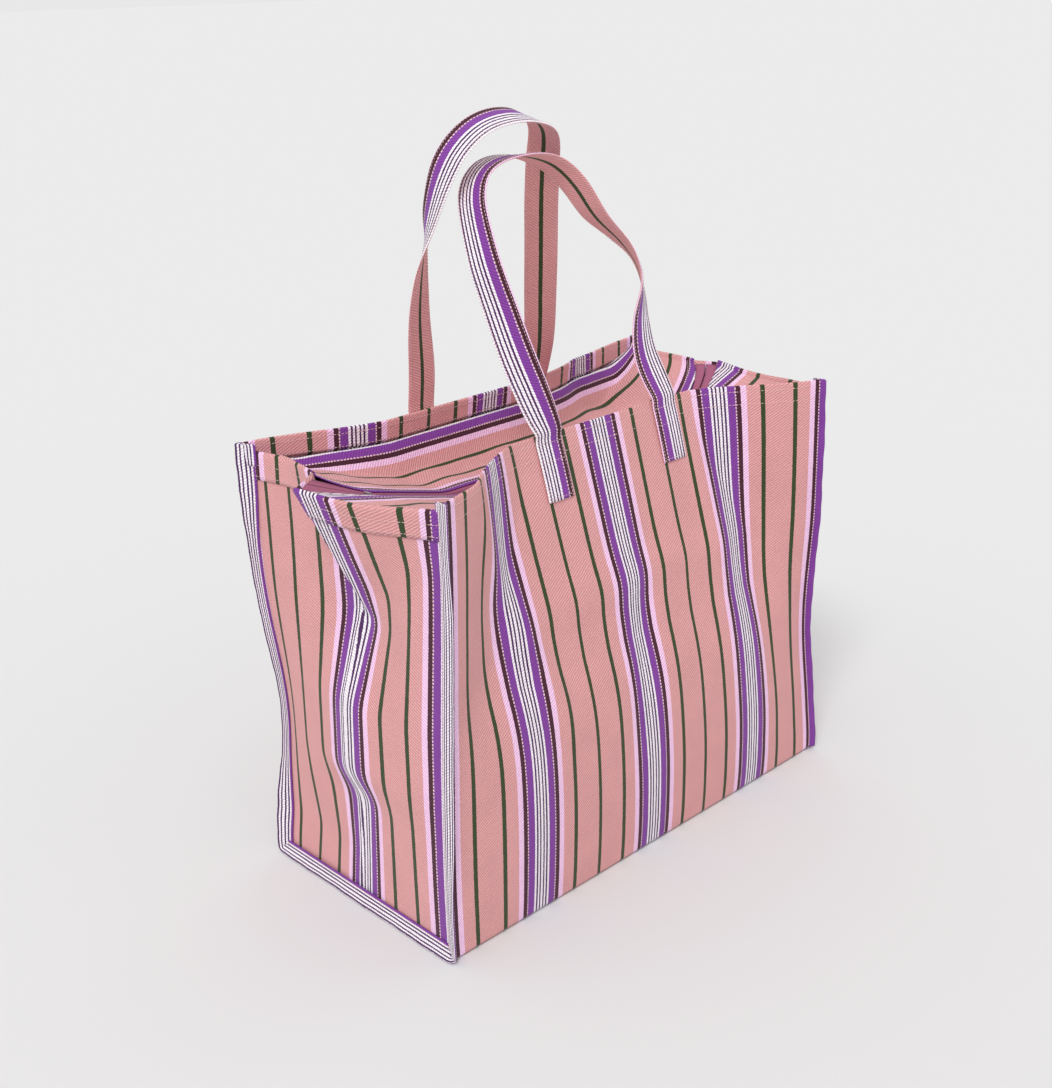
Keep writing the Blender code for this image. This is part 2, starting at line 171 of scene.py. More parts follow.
def canvas(name, mirrored=False, painted_lightness=1.0):
    """Striped twill. The stripe at a point depends on its distance from the nearest white block: the
    across coordinate, counted from the block between a wide and a narrow section, folded to and fro
    over half a section. A mirrored cloth is counted from its own middle."""
    material = bpy.data.materials.new(name)
    material.use_nodes = True
    tree = material.node_tree
    shader = tree.nodes["Principled BSDF"]
    uv = tree.nodes.new("ShaderNodeUVMap")
    uv.uv_map = "cloth"
    split = tree.nodes.new("ShaderNodeSeparateXYZ")
    tree.links.new(uv.outputs[0], split.inputs[0])
    across, along = split.outputs[0], split.outputs[1]

    yarn = tree.nodes.new("ShaderNodeTexNoise")
    yarn.inputs["Scale"].default_value = 9
    yarn.inputs["Detail"].default_value = 3
    tree.links.new(uv.outputs[0], yarn.inputs["Vector"])
    shift = add_math(tree, "MULTIPLY_ADD", yarn.outputs["Fac"], 0.024, -0.012)
    place = add_math(tree, "ADD", across, shift)
    if mirrored:
        place = add_math(tree, "SUBTRACT", add_math(tree, "ABSOLUTE", place), WIDE_SECTION)
    wide = add_math(tree, "PINGPONG", place, WIDE_SECTION / 2)
    narrow = add_math(tree, "PINGPONG", place, NARROW_SECTION / 2)
    on_narrow = add_math(tree, "GREATER_THAN", place, 0)
    gap = add_math(tree, "SUBTRACT", narrow, wide)
    out = add_math(tree, "MULTIPLY_ADD", on_narrow, gap, wide)

    ramp = tree.nodes.new("ShaderNodeValToRGB")
    ramp.color_ramp.interpolation = "CONSTANT"
    reach = 2.5
    while len(ramp.color_ramp.elements) < len(STRIPES):
        ramp.color_ramp.elements.new(0.5)
    for element, (start, colour) in zip(ramp.color_ramp.elements, STRIPES):
        element.position = start / reach
        element.color = (*colour, 1)
    tree.links.new(add_math(tree, "DIVIDE", out, reach), ramp.inputs[0])

    # A pin line of cream yarn between violet and maroon, which shows as a row of dots.
    in_pin = add_math(tree, "COMPARE", out, PIN_MIDDLE, PIN_HALF)
    beat = add_math(tree, "SINE", add_math(tree, "MULTIPLY", along, PIN_DOTS))
    dots = add_math(tree, "GREATER_THAN", beat, -0.4)
    colour = add_mix(tree, add_math(tree, "MULTIPLY", in_pin, dots), ramp.outputs[0], CREAM)

    # Twill: fine slanted ribs, two yarns wide, with a little unevenness from yarn to yarn.
    sideways = add_math(tree, "MULTIPLY", across, RIBS_ACROSS)
    slant = add_math(tree, "ADD", sideways, add_math(tree, "MULTIPLY", along, RIBS_ALONG))
    wander = add_math(tree, "MULTIPLY", yarn.outputs["Fac"], 5)
    rib = add_math(tree, "SINE", add_math(tree, "ADD", slant, wander))
    fine = tree.nodes.new("ShaderNodeTexNoise")
    fine.inputs["Scale"].default_value = 42
    fine.inputs["Detail"].default_value = 4
    tree.links.new(uv.outputs[0], fine.inputs["Vector"])
    broad = tree.nodes.new("ShaderNodeTexNoise")
    broad.inputs["Scale"].default_value = 0.9
    broad.inputs["Detail"].default_value = 2
    tree.links.new(uv.outputs[0], broad.inputs["Vector"])
    # Painted light: the last argument of canvas() raises the whole tone of this copy of the canvas. It
    # stands in for the light on the parts that use it.
    tone = add_math(tree, "MULTIPLY_ADD", rib, 0.200, 0.95 * painted_lightness)
    tone = add_math(tree, "ADD", tone, add_math(tree, "MULTIPLY_ADD", fine.outputs["Fac"], 0.30, -0.15))
    tone = add_math(tree, "ADD", tone, add_math(tree, "MULTIPLY_ADD", broad.outputs["Fac"], 0.16, -0.08))
    grey = tree.nodes.new("ShaderNodeCombineColor")
    for socket in grey.inputs:
        tree.links.new(tone, socket)
    colour = add_mix(tree, 1.0, colour, grey.outputs[0], "MULTIPLY")
    tree.links.new(colour, shader.inputs["Base Color"])

    height = add_math(tree, "ADD", rib, add_math(tree, "MULTIPLY", fine.outputs["Fac"], 1.6))
    bump = tree.nodes.new("ShaderNodeBump")
    bump.inputs["Strength"].default_value = 0.5
    bump.inputs["Distance"].default_value = RIB_DEPTH
    tree.links.new(height, bump.inputs["Height"])
    tree.links.new(bump.outputs[0], shader.inputs["Normal"])
    shader.inputs["Roughness"].default_value = 0.82
    shader.inputs["Specular IOR Level"].default_value = 0.25
    shader.inputs["Sheen Weight"].default_value = 0.12
    shader.inputs["Sheen Roughness"].default_value = 0.5
    return material


def ease(t):
    """Rises smoothly from 0 to 1 as t goes from 0 to 1."""
    t = np.clip(t, 0, 1)
    return t * t * (3 - 2 * t)


def bell(x, middle, half):
    """1 at the middle, falling to about a third at a distance of half."""
    return np.exp(-(((x - middle) / half) ** 2))


def unit(vectors):
    """Each row of vectors divided by its own length."""
    return vectors / np.linalg.norm(vectors, axis=1, keepdims=True)


def arc_length(points):
    """Distance along a line of points, counted from its first point."""
    return np.concatenate(([0], np.cumsum(np.linalg.norm(np.diff(points, axis=0), axis=1))))


def cloth_piece(name, points, cloth, material, thickness=0.0009):
    """A piece of cloth: a grid of points, with its cloth coordinates as a UV map, given its thickness
    evenly on both sides."""
    rows, columns = points.shape[:2]
    number = np.arange(rows * columns).reshape(rows, columns)
    corners = np.stack((number[:-1, :-1], number[1:, :-1], number[1:, 1:], number[:-1, 1:]), -1)
    mesh = bpy.data.meshes.new(name)
    mesh.from_pydata(points.reshape(-1, 3), [], corners.reshape(-1, 4).tolist())
    layer = mesh.uv_layers.new(name="cloth")
    layer.data.foreach_set("uv", cloth.reshape(-1, 2)[corners.ravel()].ravel())
    mesh.shade_smooth()
    piece = bpy.data.objects.new(name, mesh)
    mesh.materials.append(material)
    scene.collection.objects.link(piece)
    if thickness:
        solidify = piece.modifiers.new("thickness", "SOLIDIFY")
        solidify.thickness = thickness
        solidify.offset = 0
    return piece


def grid_normals(points):
    """Unit normals of a grid of points, from its neighbours along rows and columns."""
    along = np.gradient(points, axis=0)
    across = np.gradient(points, axis=1)
    normal = np.cross(along, across)
    return normal / np.maximum(np.linalg.norm(normal, axis=2, keepdims=True), 1e-12)


# ---------------------------------------------------------------------------------------------
# Gussets: the two ends, each its own piece of canvas, sewn under the body cloth's folded edges. The
# spare width at the top is tucked in a slanting pleat that overlaps towards the back.
# ---------------------------------------------------------------------------------------------
GUSSET_TOP = 0.3925
# In stripe steps from the back: where a white block's middle falls, and the cloth's two edges.
GUSSET_ZERO = 3.945
GUSSET_START, GUSSET_END = -0.25, 7.60
# The flat end's distance out, and the right pleat's depth as a share of the left one's.
GUSSET_MIDDLE = 0.2445
RIGHT_PLEAT_SHARE = 0.45
# Where a seam meets the ground, as distances out along x and y.
BOTTOM_CORNER = (0.2436, 0.1225)

# Where each upright seam stands at the mouth (x, y), and how far its middle leans in.
CORNERS = {
    (-1, -1): ((-0.2276, -0.1236), 0.003),
    (-1, 1): ((0.2296, -0.1276), 0.006),
    (1, -1): ((-0.2416, 0.1256), 0.010),
    (1, 1): ((0.2511, 0.1306), 0.005),
}


def corner_xy(side, end, z):
    """An upright seam at height z: from the base corner to its place at the mouth, with a lean inward
    that is greatest at a third of the height."""
    (top_x, top_y), lean = CORNERS[side, end]
    rise = ease((z - 0.04) / 0.36)
    inward = lean * bell(z, 0.15, 0.09) * ease(z / 0.05)
    x = end * BOTTOM_CORNER[0] * (1 - rise) + top_x * rise - end * inward
    y = side * BOTTOM_CORNER[1] * (1 - rise) + top_y * rise - side * inward
    return x, y


# Level sections through the end of the bag, from the ground up: the height, then five upright lines
# of the cloth as (stripe step, distance out, y). They are a line near the back, the pleat's inner
# fold, its ridge, and two lines on the part in front of the ridge.
GUSSET_SECTIONS = [
    (0.0012, ((1.62, 0.2430, 0.0704), (3.70, 0.2435, 0.0055), (4.20, 0.2435, -0.0100),
              (5.30, 0.2435, -0.0444), (6.30, 0.2435, -0.0756))),
    (0.0500, ((1.62, 0.2365, 0.0690), (3.80, 0.2390, 0.0020), (4.20, 0.2400, -0.0100),
              (5.30, 0.2420, -0.0445), (6.30, 0.2435, -0.0760))),
    (0.1050, ((1.62, 0.2435, 0.0690), (3.90, 0.2365, -0.0010), (4.20, 0.2370, -0.0105),
              (5.30, 0.2410, -0.0450), (6.30, 0.2430, -0.0760))),
    (0.1350, ((1.62, 0.2440, 0.0700), (3.90, 0.2500, 0.0010), (4.20, 0.2500, -0.0085),
              (5.30, 0.2460, -0.0440), (6.30, 0.2440, -0.0760))),
    (0.2000, ((1.62, 0.2420, 0.0700), (3.90, 0.2470, 0.0000), (4.20, 0.2470, -0.0090),
              (5.30, 0.2440, -0.0430), (6.30, 0.2425, -0.0760))),
    (0.2730, ((1.62, 0.2400, 0.0725), (4.00, 0.2252, -0.0085), (4.22, 0.2235, -0.0160),
              (5.30, 0.2300, -0.0480), (6.30, 0.2370, -0.0790))),
    (0.3050, ((1.62, 0.2370, 0.0735), (3.81, 0.2272, -0.0022), (4.00, 0.2358, -0.0076),
              (5.30, 0.2295, -0.0490), (6.30, 0.2345, -0.0800))),
    (0.3380, ((1.62, 0.2340, 0.0750), (3.41, 0.2305, 0.0114), (3.79, 0.2479, 0.0005),
              (5.30, 0.2400, -0.0480), (6.30, 0.2325, -0.0805))),
    (0.3925, ((1.62, 0.2300, 0.0790), (2.75, 0.2360, 0.0340), (3.45, 0.2680, 0.0140),
              (5.30, 0.2540, -0.0450), (6.30, 0.2425, -0.0790))),
]
PLEAT_COLUMNS = (18, 12, 8, 18, 10, 14)
INNER_FOLD, RIDGE = sum(PLEAT_COLUMNS[:2]), sum(PLEAT_COLUMNS[:3])


def gusset_grid(end):
    """An end of the bag and the stripe step at each point. Between the level sections every upright
    line runs straight, between the upright lines every row runs straight, and the whole is then
    softened: each point moves towards the mean of its neighbours, least along the ridge. The right
    end has the same pleat at a shallower depth."""
    deep = 1.0 if end < 0 else RIGHT_PLEAT_SHARE
    height = np.linspace(0.0012, GUSSET_TOP, 120)
    levels = np.array([level for level, _ in GUSSET_SECTIONS])
    lines = np.array([line for _, line in GUSSET_SECTIONS])
    lines = np.array([[np.interp(height, levels, lines[:, i, k]) for k in range(3)] for i in range(5)])
    lines[:, 1] = GUSSET_MIDDLE + deep * (lines[:, 1] - GUSSET_MIDDLE)
    back_x, back_y = corner_xy(1, end, height)
    front_x, front_y = corner_xy(-1, end, height)
    first = np.array([[GUSSET_START + 0 * height, np.abs(back_x), back_y]])
    last = np.array([[GUSSET_END + 0 * height, np.abs(front_x), front_y]])
    knots = np.concatenate((first, lines, last))
    strips = [np.linspace(i, i + 1, n, endpoint=False) for i, n in enumerate(PLEAT_COLUMNS)]
    share = np.append(np.concatenate(strips), len(PLEAT_COLUMNS))
    before = np.minimum(share.astype(int), len(PLEAT_COLUMNS) - 1)
    part = (share - before)[:, None, None]
    between = knots[before] * (1 - part) + knots[before + 1] * part
    step, out, y = np.moveaxis(between, (0, 1, 2), (2, 0, 1))
    grid = np.stack((end * out, y, np.broadcast_to(height[:, None], y.shape)), -1)
    column = np.arange(grid.shape[1])
    hold = bell(column, RIDGE, 2.5) + bell(column, INNER_FOLD, 2.5)
    hold = np.clip(hold[None, :] * ease((height[:, None] - 0.26) / 0.03), 0, 0.97)
    give = (1 - hold)[1:-1, 1:-1, None]
    for _ in range(14):
        mean = (grid[:-2, 1:-1] + grid[2:, 1:-1] + grid[1:-1, :-2] + grid[1:-1, 2:]) / 4
        grid[1:-1, 1:-1] += 0.5 * give * (mean - grid[1:-1, 1:-1])
    y, z = grid[..., 1], grid[..., 2]
    grid[..., 2] -= 0.006 * bell(y, -0.04, 0.06) * ease((z - 0.25) / 0.14)
    return grid, step


gusset_canvas = canvas("striped_canvas_gusset")
gusset_grids = {}
for end, end_name in ((-1, "left"), (1, "right")):
    grid, step = gusset_grid(end)
    gusset_grids[end] = grid
    cloth = np.stack((step - GUSSET_ZERO, grid[:, :, 2] / STEP), -1)
    if end > 0:
        grid, cloth = grid[:, ::-1], cloth[:, ::-1]
    piece = cloth_piece(end_name + "_gusset_cloth", grid, cloth, gusset_canvas)
    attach(piece, "bag")
    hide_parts(end_name + "_gusset")

# ---------------------------------------------------------------------------------------------
# Body: one length of canvas that runs up the front, under the base and up the back. Its top ends
# are turned down inside as hems. Its side edges fold outward and are sewn down on the gussets.
# ---------------------------------------------------------------------------------------------
HEIGHT = 0.400
HEM_BOTTOM = 0.381
# Radii of the bottom fold and of the hem's turn over the top.
FOLD = 0.004
TURN = 0.0011
# Steps from the middle of the cloth to each upright seam.
SEAM_S = 7.75
# Rows of the cloth's grid in the hem, over its turn, down a long side, round a fold, in the base.
HEM_ROWS, TURN_ROWS, SIDE_ROWS, FOLD_ROWS, BASE_ROWS = 6, 5, 100, 7, 40
MIDDLE_COLUMN = 70


def soft_ramp(t):
    """From 0 to 1, mostly straight, with rounded ends."""
    return 0.6 * ease(t) + 0.4 * np.clip(t, 0, 1)


def long_side_y(side, x, z):
    """The front (side -1) or back (side 1) cloth. It stands on its bottom fold, bulges a little low
    down, and sinks inward from a third of its height up to the mouth. The sunk part is flat in the
    middle and climbs back out to the two seams."""
    left_x, left_y = corner_xy(side, -1, z)
    right_x, right_y = corner_xy(side, 1, z)
    share = (x - left_x) / (right_x - left_x)
    edge = side * (left_y + (right_y - left_y) * share)
    high = ease((z - 0.20) / 0.20)
    if side < 0:
        slope, start = 0.295, 0.168
        left_run = 0.055 + 0.080 * high
        right_run = 0.055 + 0.055 * high
    else:
        slope, start = 0.180, 0.155
        left_run = 0.070 + 0.055 * high
        right_run = 0.080 + 0.120 * high
    knee = 0.016
    sink = slope * knee * np.log1p(np.exp((z - start) / knee))
    inner = soft_ramp((x - left_x) / left_run) * soft_ramp((right_x - x) / right_run)
    belly = 0.007 * np.sin(np.pi * np.clip(z / 0.21, 0, 1)) * ease(share * 5) * ease((1 - share) * 5)
    depth = edge - sink * inner + belly
    # Slack: soft ridges and hollows in the cloth, some of them leaning.
    if side < 0:
        depth = depth + 0.0045 * bell(z, 0.262, 0.020) * bell(x, -0.01, 0.13)
        depth = depth + 0.0040 * bell(x + 0.35 * (z - 0.30), -0.150, 0.016) * ease((z - 0.12) / 0.1)
        depth = depth - 0.0035 * bell(x - 0.25 * (z - 0.25), 0.020, 0.018) * bell(z, 0.20, 0.09)
        depth = depth + 0.0040 * bell(x, 0.118, 0.015) * bell(z, 0.27, 0.09)
        depth = depth - 0.0040 * bell(x + 0.2 * (z - 0.2), 0.165, 0.018) * bell(z, 0.19, 0.07)
    else:
        depth = depth + 0.004 * bell(x - 0.3 * (z - 0.25), 0.10, 0.02) * ease((z - 0.1) / 0.1)
        depth = depth - 0.004 * bell(x + 0.3 * (z - 0.25), -0.08, 0.02) * bell(z, 0.22, 0.09)
    return side * depth


cloth_s = np.linspace(-SEAM_S, SEAM_S, 2 * MIDDLE_COLUMN + 1)


def spread_across(side, z):
    """x of each lengthwise thread at the heights z (a column): the threads keep their spacing along
    the curved cloth, so equal shares of the seam-to-seam arc fall between them."""
    fine = np.linspace(0, 1, 401)
    left = corner_xy(side, -1, z)[0]
    right = corner_xy(side, 1, z)[0]
    x = left + (right - left) * fine
    y = long_side_y(side, x, z)
    arc = np.cumsum(np.hypot(np.diff(x, axis=1), np.diff(y, axis=1)), axis=1)
    arc = np.hstack((np.zeros((len(arc), 1)), arc))
    wanted = (cloth_s + SEAM_S) / (2 * SEAM_S)
    return np.array([np.interp(wanted, a / a[-1], row) for a, row in zip(arc, x)])


def body_rows(side):
    """Rows of the body cloth on one long side, from the hem's inner edge over the top and down to
    the end of the bottom fold, with each row's turn from upright (0) to lying flat (1) and whether
    it is outside (0) or turned inside (1)."""
    rows, turns, inside = [], [], []
    z = np.linspace(HEM_BOTTOM, HEIGHT - TURN, HEM_ROWS)[:, None]
    x = spread_across(side, z)
    rows.append(np.stack((x, long_side_y(side, x, z) - side * 2 * TURN, z + 0 * x), -1))
    turns += [0] * HEM_ROWS
    inside += [1] * HEM_ROWS
    bend = np.linspace(math.pi, 0, TURN_ROWS + 2)[1:-1, None]
    z = np.full_like(bend, HEIGHT - TURN)
    x = spread_across(side, z)
    y = long_side_y(side, x, z) - side * TURN * (1 - np.cos(bend))
    rows.append(np.stack((x, y, z + TURN * np.sin(bend) + 0 * x), -1))
    turns += [0] * TURN_ROWS
    inside += list(bend[:, 0] / math.pi)
    z = np.linspace(HEIGHT - TURN, FOLD, SIDE_ROWS)[:, None]
    x = spread_across(side, z)
    rows.append(np.stack((x, long_side_y(side, x, z), z + 0 * x), -1))
    turns += [0] * SIDE_ROWS
    inside += [0] * SIDE_ROWS
    bend = np.linspace(0, math.pi / 2, FOLD_ROWS + 1)[1:, None]
    z = np.full_like(bend, FOLD)
    x = spread_across(side, z)
    y = long_side_y(side, x, z) - side * FOLD * (1 - np.cos(bend))
    rows.append(np.stack((x, y, FOLD * (1 - np.sin(bend)) + 0.0005 + 0 * x), -1))
    turns += list(bend[:, 0] / (math.pi / 2))
    inside += [0] * FOLD_ROWS
    return np.concatenate(rows), np.array(turns), np.array(inside)


front, front_turn, front_inside = body_rows(-1)
back, back_turn, back_inside = body_rows(1)
steps = np.linspace(0, 1, BASE_ROWS + 2)[1:-1, None, None]
base = front[-1] * (1 - steps) + back[-1] * steps
body = np.concatenate((front, base, back[::-1]))
base_side = np.linspace(-1, 1, BASE_ROWS + 2)[1:-1]
row_side = np.concatenate((-np.ones(len(front)), base_side, np.ones(len(back))))
row_turn = np.concatenate((front_turn, np.ones(BASE_ROWS), back_turn[::-1]))[:, None]
row_inside = np.concatenate((front_inside, np.zeros(BASE_ROWS), back_inside[::-1]))[:, None]
row_length = arc_length(body[:, MIDDLE_COLUMN])


def seam_flap(end):
    """Columns past an upright or bottom seam: out to the flap's tip, back over the gusset's edge, and
    a stitched strip that lies flat on the gusset. The tip points out and sideways on the uprights and
    straight out along the ground. At the mouth the flap narrows inside its own fold."""
    line = body[:, 0 if end < 0 else -1]
    side = np.sign(row_side)[:, None]
    height = line[:, 2:3]
    nothing = 0 * side
    spread = np.hstack((end * 0.72 + nothing, side * 0.69, nothing))
    outward = np.hstack((end + nothing, nothing, nothing))
    forward = np.hstack((end * 0.40 + nothing, side * 0.92, nothing))
    edgewise = np.hstack((end * 0.96 + nothing, -side * 0.25, nothing))
    middle = ease((height - 0.04) / 0.08) * ease((0.37 - height) / 0.07)
    turned = np.where(side < 0, forward, edgewise)
    tip = spread * (1 - middle) + turned * middle
    tip = tip * (1 - row_turn) + outward * row_turn
    tip = unit(tip)
    inward = edge_run(end, side, height) * (1 - row_turn) + np.array((0, 0, 1.0)) * row_turn
    inward = unit(inward)
    width = 0.0072 * (1 - 0.45 * row_inside)
    reach = np.where(side < 0, 0.0050 + 0.0035 * row_turn, 0.0095 - 0.0010 * row_turn)
    reach = reach * (1 - 0.45 * middle * (side > 0))
    strip = np.where(side < 0, 0.0015 + 0.0030 * row_turn, 0.0045)
    place = row_length[:, None]
    wave = 0.0003 * np.sin(place * 75 + 2 * end) + 0.0002 * np.sin(place * 233)
    columns = []
    # Each column's share of the way out, of the way back and of the flat strip, and its lift.
    for out, back_share, flat_share, lift in (
        (0.25, 0, 0, 0.0002), (0.55, 0, 0, 0.0000), (0.85, 0, 0, -0.0002), (0.98, 0, 0, 0.0001),
        (1.00, 0.05, 0, 0.0002), (0.96, 0.10, 0, 0.0), (0.80, 0.24, 0, 0.0004), (0.60, 0.43, 0, 0.0008),
        (0.40, 0.62, 0, 0.0012), (0.20, 0.82, 0, 0.0014), (0.06, 1.0, 0, 0.0014), (0.0, 1.0, 0.5, 0.0017),
        (0.0, 1.0, 1.0, 0.0015),
    ):
        spot = tip * (width * out + wave * out)
        spot = spot + inward * (reach * back_share + strip * flat_share + 0.0002)
        columns.append(line + spot + outward * lift)
    columns = np.stack(columns, 1)
    columns[:, :, 2] = np.maximum(columns[:, :, 2], 0.0005)
    if end > 0:
        return columns
    return columns[:, ::-1]


def edge_run(end, side, height):
    """Direction in which the gusset leaves an upright seam, at each height, level with the ground."""
    grid = gusset_grids[end]
    runs = {}
    for which, (near, far) in {1: (0, 5), -1: (-1, -6)}.items():
        run = grid[:, far] - grid[:, near]
        run[:, 2] = 0
        run = unit(run)
        levels = grid[:, near, 2]
        runs[which] = np.stack([np.interp(height[:, 0], levels, run[:, k]) for k in range(3)], -1)
    return np.where(side > 0, runs[1], runs[-1])


left_flap, right_flap = seam_flap(-1), seam_flap(1)
# Each flap column's distance from the middle of the cloth, in steps.
flap_s = np.array((7.82, 7.90, 7.975, 8.015, 8.09, 8.12, 8.18, 8.26, 8.34, 8.42, 8.50, 8.57, 8.66))
body = np.concatenate((left_flap, body, right_flap), axis=1)
body_s = np.concatenate((-flap_s[::-1], cloth_s, flap_s))
body_cloth_uv = np.stack(np.broadcast_arrays(body_s[None, :], row_length[:, None] / STEP), -1)
body_canvas = canvas("striped_canvas_body", mirrored=True)
body_piece = cloth_piece("body_cloth", body, body_cloth_uv, body_canvas)
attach(body_piece, "bag")
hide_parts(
    "front_panel", "back_panel", "base_panel", "front_hem", "back_hem",
    "front_left_corner_seam", "front_right_corner_seam", "back_left_corner_seam",
    "back_right_corner_seam", "left_base_seam", "right_base_seam",
)

# ---------------------------------------------------------------------------------------------
# Closure: two strips of the same canvas with their stripes lengthwise, sewn under the hems, folded
# back and topstitched beside the zip, and taken over the gussets' tops at both ends.
# ---------------------------------------------------------------------------------------------
ZIP_LEVEL = 0.350
ZIP_GAP = 0.0072
CLOSURE_END = 0.230
# The strips come this many rows down outside the gusset, this far clear of its middle.
WRAP_ROWS = 8
WRAP_CLEAR = 0.0014
# The zip hangs level between these two places.
LEVEL_LEFT, LEVEL_RIGHT = -0.120, 0.170


def zip_height(x):
    """The zip hangs level between the handles and climbs in a straight line to the gussets."""
    left = (LEVEL_LEFT - x) / 0.112
    right = (x - LEVEL_RIGHT) / 0.060
    rise = np.maximum(left, right)
    return ZIP_LEVEL + 0.030 * np.clip(0.03 * np.log1p(np.exp(rise / 0.03)), 0, 1.2)


def closure_grid(side):
    """Lengthwise threads of one closure strip, from the hem to the zip. In the open a thread lies on
    a section that falls steeply from the hem and then runs nearly level to the zip. Towards each end
    it joins the gusset's top edge, turns over it and comes down outside, a cloth's thickness clear."""
    ends = {}
    for end in (-1, 1):
        grid = gusset_grids[end]
        normal = grid_normals(grid)
        normal *= np.sign(normal[:, :1, :1]) * end
        columns = np.arange(0, INNER_FOLD + 1)
        if side < 0:
            columns = np.arange(grid.shape[1] - 1, RIDGE - 1, -1)
        outside = (grid + WRAP_CLEAR * normal)[-WRAP_ROWS:, columns]
        over = grid[-1:, columns] + np.array((0, 0, 0.0016))
        inside = (grid - WRAP_CLEAR * normal)[-1:, columns]
        ends[end] = np.concatenate((outside, over, inside))
    edge = ends[-1][-1]
    share = arc_length(edge)
    share = share / share[-1]
    x = np.linspace(-CLOSURE_END, CLOSURE_END, 141)[1:-1, None] + 0 * share
    hem_y = side * long_side_y(side, x, np.full_like(x, HEM_BOTTOM)) - 0.0040
    fall = np.clip(share / 0.33, 0, 1) + 0 * x
    level = np.clip((share - 0.33) / 0.67, 0, 1) + 0 * x
    knee_y = hem_y - 0.016
    y = hem_y + (knee_y - hem_y) * fall + (ZIP_GAP - knee_y) * level
    low = zip_height(x)
    z = low + (HEM_BOTTOM - 0.0015 - low) * (1 - ease(fall))
    z = z - 0.0020 * np.sin(math.pi * level) * np.clip(1 - np.abs(x) / 0.2, 0, 1)
    ripple = 0.0009 * np.sin(x * 60 + side) + 0.0006 * np.sin(x * 137 + 2)
    z = z + ripple * np.sin(math.pi * share)
    section = np.stack((x, side * y, z), -1)
    drop = np.array((0, 0, 0.0020))
    for end in (-1, 1):
        pull = ease((end * x - 0.198) / (CLOSURE_END - 0.198))[..., None]
        section = section * (1 - pull) + (ends[end][-1] - drop) * pull
    return np.concatenate((ends[-1], section, ends[1][::-1]))


closure_canvas = canvas("striped_canvas_closure")
closure_grids = {}
for side, side_name in ((-1, "front"), (1, "back")):
    grid = closure_grid(side)
    closure_grids[side] = grid
    # Stripes are counted from the hem on the hem's side and from the zip on the zip's side.
    lengths = np.linalg.norm(np.diff(grid, axis=1), axis=2)
    from_zip = np.cumsum(lengths[:, ::-1], axis=1)[:, ::-1]
    from_zip = np.hstack((from_zip, np.zeros((len(grid), 1))))
    run = arc_length(grid[:, 12])
    at_end = ease((np.abs(grid[:, :1, 0]) - 0.16) / 0.07)
    from_hem = 0.22 - 0.14 * at_end + (from_zip[:, :1] - from_zip) / STEP
    zip_side = ease((from_hem - 0.9) / 2.2) * (1 - 0.6 * at_end)
    across = from_hem * (1 - zip_side) + (NARROW_SECTION - 0.36 - from_zip / STEP) * zip_side
    cloth = np.stack((across, np.broadcast_to(run[:, None] / STEP, across.shape)), -1)
    if side > 0:
        grid, cloth = grid[:, ::-1], cloth[:, ::-1]
    piece = cloth_piece(side_name + "_closure_cloth", grid, cloth, closure_canvas)
    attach(piece, "bag")
    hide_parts(side_name + "_closure_panel")

# ---------------------------------------------------------------------------------------------
# Zip: two woven tapes sewn under the closure's folded edges, a nylon coil on each, and a plated
# slider, pull and stops.
# ---------------------------------------------------------------------------------------------


def ribbed_tape():
    """Dusty rose zip tape with fine ribs along it."""
    material = bpy.data.materials.new("ribbed_zip_tape")
    material.use_nodes = True
    tree = material.node_tree
    shader = tree.nodes["Principled BSDF"]
    uv = tree.nodes.new("ShaderNodeUVMap")
    uv.uv_map = "cloth"
    split = tree.nodes.new("ShaderNodeSeparateXYZ")
    tree.links.new(uv.outputs[0], split.inputs[0])
    rib = add_math(tree, "SINE", add_math(tree, "MULTIPLY", split.outputs[0], 165))
    pick = add_math(tree, "SINE", add_math(tree, "MULTIPLY", split.outputs[1], 190))
    weave = add_math(tree, "ADD", rib, add_math(tree, "MULTIPLY", pick, 0.4))
    factor = add_math(tree, "MULTIPLY_ADD", weave, 0.3, 0.5)
    colour = add_mix(tree, factor, (0.27, 0.065, 0.13), (0.46, 0.13, 0.23))
    tree.links.new(colour, shader.inputs["Base Color"])
    bump = tree.nodes.new("ShaderNodeBump")
    bump.inputs["Strength"].default_value = 0.5
    bump.inputs["Distance"].default_value = 0.0002
    tree.links.new(weave, bump.inputs["Height"])
    tree.links.new(bump.outputs[0], shader.inputs["Normal"])
    shader.inputs["Roughness"].default_value = 0.7
    return material


def plain_finish(name, colour, roughness, metallic=0.0, scale=900.0):
    """A solid finish with a fine, faint unevenness of tone."""
    material = bpy.data.materials.new(name)
    material.use_nodes = True
    tree = material.node_tree
    shader = tree.nodes["Principled BSDF"]
    where = tree.nodes.new("ShaderNodeTexCoord")
    noise = tree.nodes.new("ShaderNodeTexNoise")
    noise.inputs["Scale"].default_value = scale
    tree.links.new(where.outputs["Object"], noise.inputs["Vector"])
    dark = tuple(0.75 * c for c in colour)
    tree.links.new(add_mix(tree, noise.outputs["Fac"], dark, colour), shader.inputs["Base Color"])
    shader.inputs["Roughness"].default_value = roughness
    shader.inputs["Metallic"].default_value = metallic
    return material


